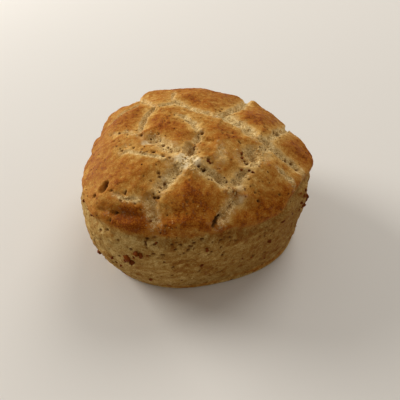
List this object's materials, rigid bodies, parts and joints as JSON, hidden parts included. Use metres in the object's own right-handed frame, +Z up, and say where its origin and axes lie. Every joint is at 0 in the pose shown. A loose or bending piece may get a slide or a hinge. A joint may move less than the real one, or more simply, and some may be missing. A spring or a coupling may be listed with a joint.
{
  "type": "pork crackling scone",
  "caption": "Round savoury scone with a cracked, browned crown, a pale crumbly wall with crackling crumbs fused to it, and a flat foot.",
  "frame": {"origin": "middle of the flat foot, on the surface that the scone rests on", "axes": "+Z up through the crown, -Y towards the side that the picture shows"},
  "size_m": [0.0674, 0.0745, 0.0365],
  "materials": {
    "crust": "matt browned crust over pale crumb"
  },
  "bodies": {
    "root": {"scone": "crust"}
  },
  "joints": []
}
